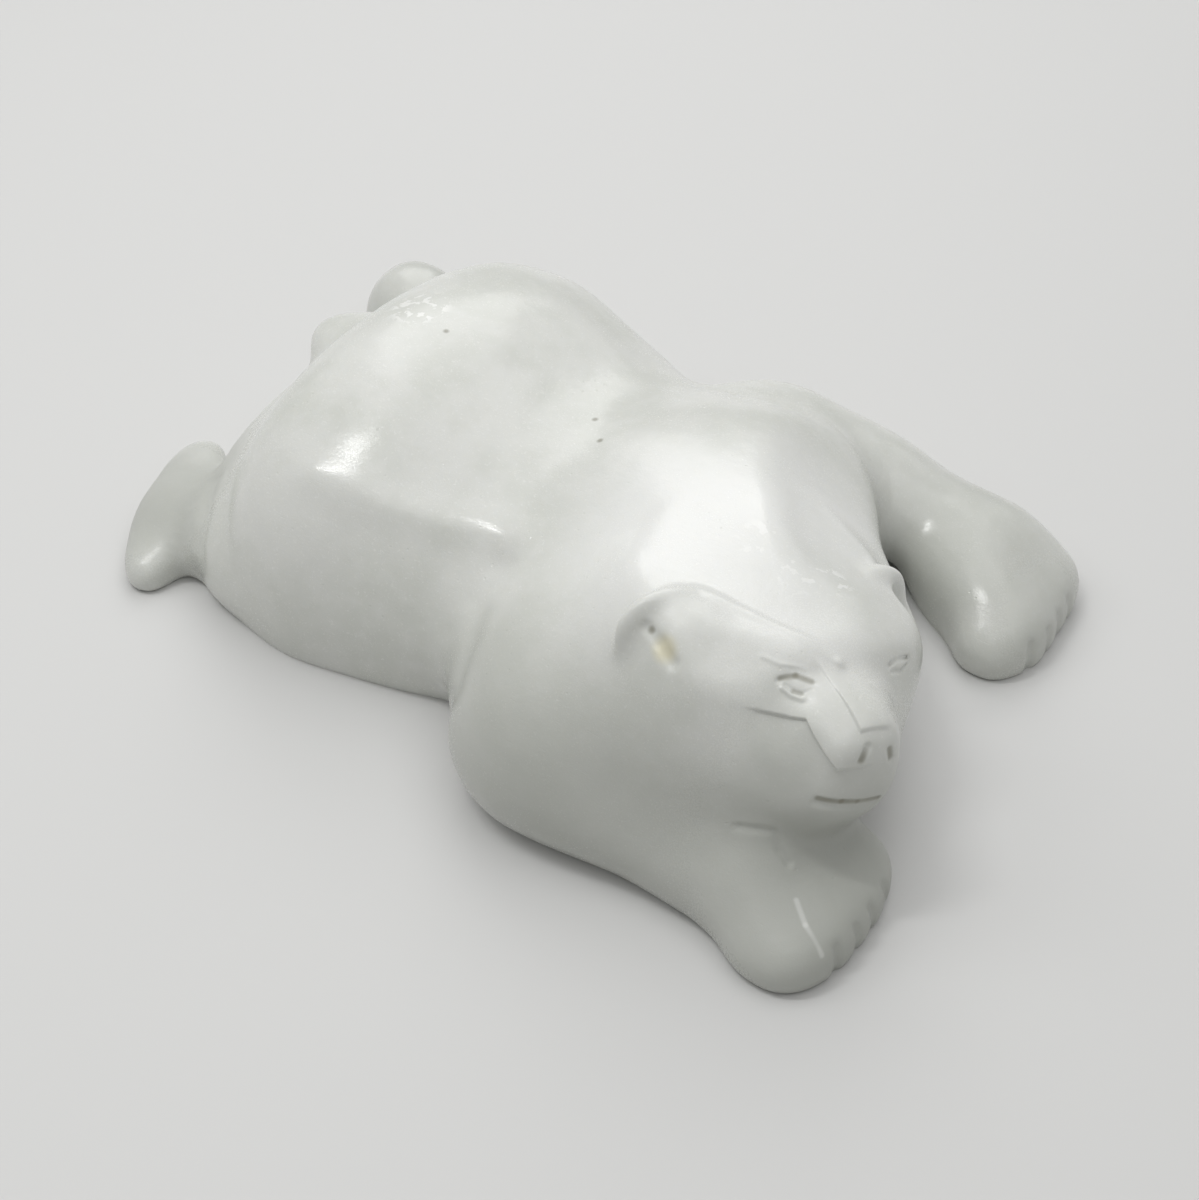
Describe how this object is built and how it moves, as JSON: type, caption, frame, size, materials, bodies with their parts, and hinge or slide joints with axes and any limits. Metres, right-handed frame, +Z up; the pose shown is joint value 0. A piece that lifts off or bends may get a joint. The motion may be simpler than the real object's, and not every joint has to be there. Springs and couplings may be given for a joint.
{
  "type": "bear sculpture",
  "caption": "White soapstone carving of a polar bear sprawled on its belly, forelegs stretched forward, head raised and turned to its right.",
  "frame": {"origin": "middle of the underside, at the centre of the bounding box", "axes": "+X the way the body faces, tail to paws; +Y the bear's left side; +Z up from the table"},
  "size_m": [0.2228, 0.1532, 0.06],
  "materials": {
    "soapstone": "white soapstone with faint cloudy grey-green mottling, slightly translucent, hand polished to a soft satin with small scratches and pits"
  },
  "bodies": {
    "root": {"polar_bear": "soapstone"}
  },
  "joints": []
}
